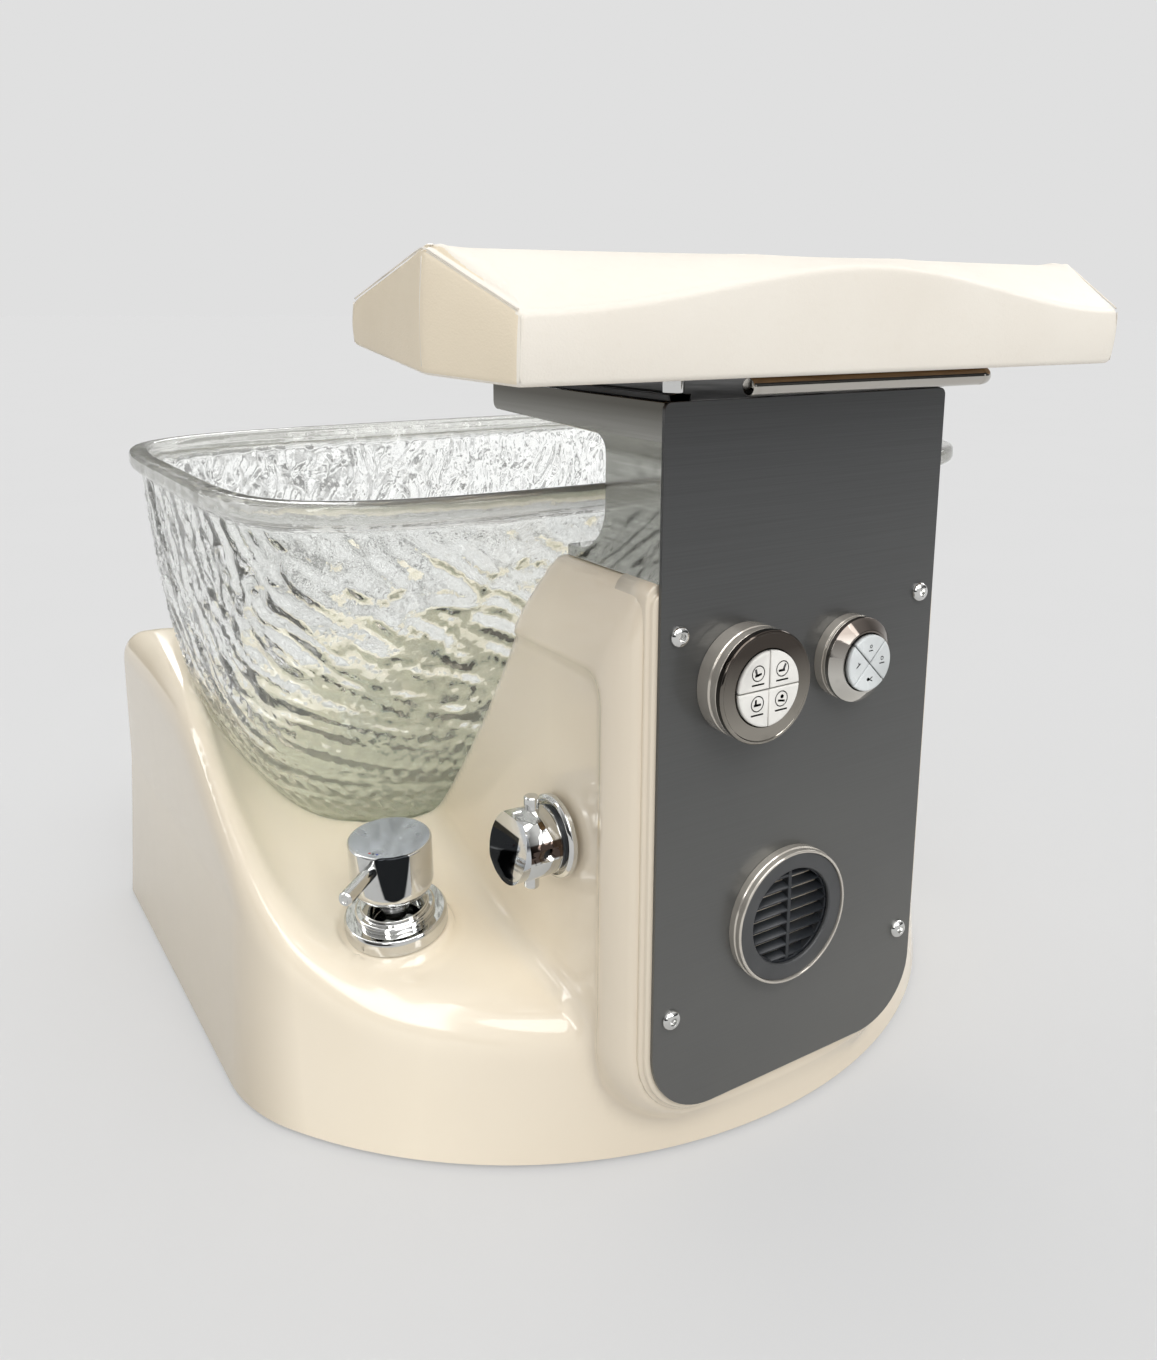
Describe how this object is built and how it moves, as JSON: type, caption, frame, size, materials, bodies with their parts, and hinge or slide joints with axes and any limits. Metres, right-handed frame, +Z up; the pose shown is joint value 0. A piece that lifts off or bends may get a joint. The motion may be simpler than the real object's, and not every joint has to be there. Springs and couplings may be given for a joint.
{
  "type": "pedicure spa basin unit",
  "caption": "Front unit of a pedicure spa chair: a clear glass foot basin in a moulded base, with a control column, mixer tap, diverter and sliding padded footrest.",
  "frame": {"origin": "on the floor under the middle of the unit's overall box", "axes": "+Z up, +Y from the front panel towards the client, +X to the right seen from the operator in front of the panel"},
  "size_m": [0.6634, 0.6574, 0.6077],
  "materials": {
    "gelcoat": "glossy, softly mottled cream moulding",
    "glass": "clear hammered glass with small bubbles",
    "chrome": "polished",
    "panel": "smooth dark grey gloss",
    "column": "polished sheet",
    "frame": "satin grey paint",
    "black_metal": "satin black",
    "steel": "plain steel",
    "vinyl": "smooth cream upholstery vinyl",
    "board": "plywood",
    "brass": "machined",
    "copper": "drawn copper pipe",
    "rubber": "matte",
    "grey_rubber": "matte",
    "black_plastic": "satin black",
    "charcoal": "satin charcoal",
    "white_key": "satin white",
    "grey_key": "satin light grey",
    "white_plastic": "plain white"
  },
  "bodies": {
    "basin_unit": {"base_shell": "gelcoat", "base_frame": "frame", "levelling_feet": "rubber", "bowl_bearers": "board", "column_frame": "frame", "column_box": "column", "front_panel": "panel", "panel_screws": "chrome", "bowl_seal": "grey_rubber", "glass_bowl": "glass", "drain_flange": "chrome", "drain_gasket": "rubber", "drain_nut": "brass", "drain_tailpiece": "white_plastic", "chair_control_housing": "chrome", "chair_control_ring": "chrome", "chair_control_carrier": "black_plastic", "chair_control_nut": "white_plastic", "jet_control_housing": "chrome", "jet_control_ring": "chrome", "jet_control_carrier": "black_plastic", "jet_control_nut": "white_plastic", "vent_ring": "chrome", "vent_bezel": "charcoal", "vent_grille": "black_plastic", "vent_fan_housing": "black_plastic", "mixer_plate": "chrome", "mixer_body": "chrome", "mixer_shank": "brass", "mixer_nut": "brass", "diverter_plate": "chrome", "diverter_body": "black_plastic", "diverter_shank": "brass", "diverter_nut": "brass", "water_pipe": "copper", "slide_rails": "steel", "lever_lugs": "black_metal"},
    "plug": {"drain_plug": "chrome"},
    "chair_key_1": {"chair_key_1": "white_key"},
    "chair_key_2": {"chair_key_2": "white_key"},
    "chair_key_3": {"chair_key_3": "white_key"},
    "chair_key_4": {"chair_key_4": "white_key"},
    "jet_key_1": {"jet_key_1": "grey_key"},
    "jet_key_2": {"jet_key_2": "grey_key"},
    "jet_key_3": {"jet_key_3": "grey_key"},
    "jet_key_4": {"jet_key_4": "grey_key"},
    "fan": {"vent_fan_rotor": "black_plastic"},
    "tap_spindle": {"mixer_stem": "steel"},
    "tap_handle": {"mixer_handle": "chrome", "mixer_pin_lever": "chrome"},
    "diverter_handle": {"diverter_knob": "chrome", "diverter_cap": "chrome"},
    "footrest": {"carrier_plate": "black_metal", "slide_posts": "chrome", "pad_board": "board", "footrest_pad": "vinyl"},
    "lever": {"release_lever": "chrome", "lever_cam": "steel"}
  },
  "joints": [
    {"name": "footrest_slide", "type": "slide", "parent": "basin_unit", "child": "footrest", "axis": [0, 1, 0], "range_m": [0, 0.076]},
    {"name": "release_lever", "type": "hinge", "parent": "basin_unit", "child": "lever", "pos_m": [0.08, -0.18332, 0.5296], "axis": [1, 0, 0], "range_deg": [0, 10], "stiffness_Nm_per_rad": 1.5, "springref_deg": -34.38},
    {"name": "chair_key_1_press", "type": "slide", "parent": "basin_unit", "child": "chair_key_1", "axis": [0, 1, 0], "range_m": [0, 0.0015], "stiffness_N_per_m": 800},
    {"name": "chair_key_2_press", "type": "slide", "parent": "basin_unit", "child": "chair_key_2", "axis": [0, 1, 0], "range_m": [0, 0.0015], "stiffness_N_per_m": 800},
    {"name": "chair_key_3_press", "type": "slide", "parent": "basin_unit", "child": "chair_key_3", "axis": [0, 1, 0], "range_m": [0, 0.0015], "stiffness_N_per_m": 800},
    {"name": "chair_key_4_press", "type": "slide", "parent": "basin_unit", "child": "chair_key_4", "axis": [0, 1, 0], "range_m": [0, 0.0015], "stiffness_N_per_m": 800},
    {"name": "jet_key_1_press", "type": "slide", "parent": "basin_unit", "child": "jet_key_1", "axis": [0, 1, 0], "range_m": [0, 0.0015], "stiffness_N_per_m": 800},
    {"name": "jet_key_2_press", "type": "slide", "parent": "basin_unit", "child": "jet_key_2", "axis": [0, 1, 0], "range_m": [0, 0.0015], "stiffness_N_per_m": 800},
    {"name": "jet_key_3_press", "type": "slide", "parent": "basin_unit", "child": "jet_key_3", "axis": [0, 1, 0], "range_m": [0, 0.0015], "stiffness_N_per_m": 800},
    {"name": "jet_key_4_press", "type": "slide", "parent": "basin_unit", "child": "jet_key_4", "axis": [0, 1, 0], "range_m": [0, 0.0015], "stiffness_N_per_m": 800},
    {"name": "fan_spin", "type": "hinge", "parent": "basin_unit", "child": "fan", "pos_m": [-0.0098, -0.25832, 0.1659], "axis": [0, 1, 0], "continuous": true},
    {"name": "mixer_turn", "type": "hinge", "parent": "basin_unit", "child": "tap_spindle", "pos_m": [-0.2185, -0.09882, 0.1315], "axis": [-0.1349, -0.1093, 0.9848], "range_deg": [-50, 50]},
    {"name": "mixer_lift", "type": "hinge", "parent": "tap_spindle", "child": "tap_handle", "pos_m": [-0.22228, -0.10188, 0.15908], "axis": [-0.6293, 0.7771, 0], "range_deg": [-6, 10]},
    {"name": "diverter_turn", "type": "hinge", "parent": "basin_unit", "child": "diverter_handle", "pos_m": [-0.16, -0.19832, 0.2225], "axis": [-1, 0, 0], "range_deg": [-90, 90]},
    {"name": "drain_plug_lift", "type": "slide", "parent": "basin_unit", "child": "plug", "axis": [0, 0, 1], "range_m": [0, 0.01]}
  ]
}
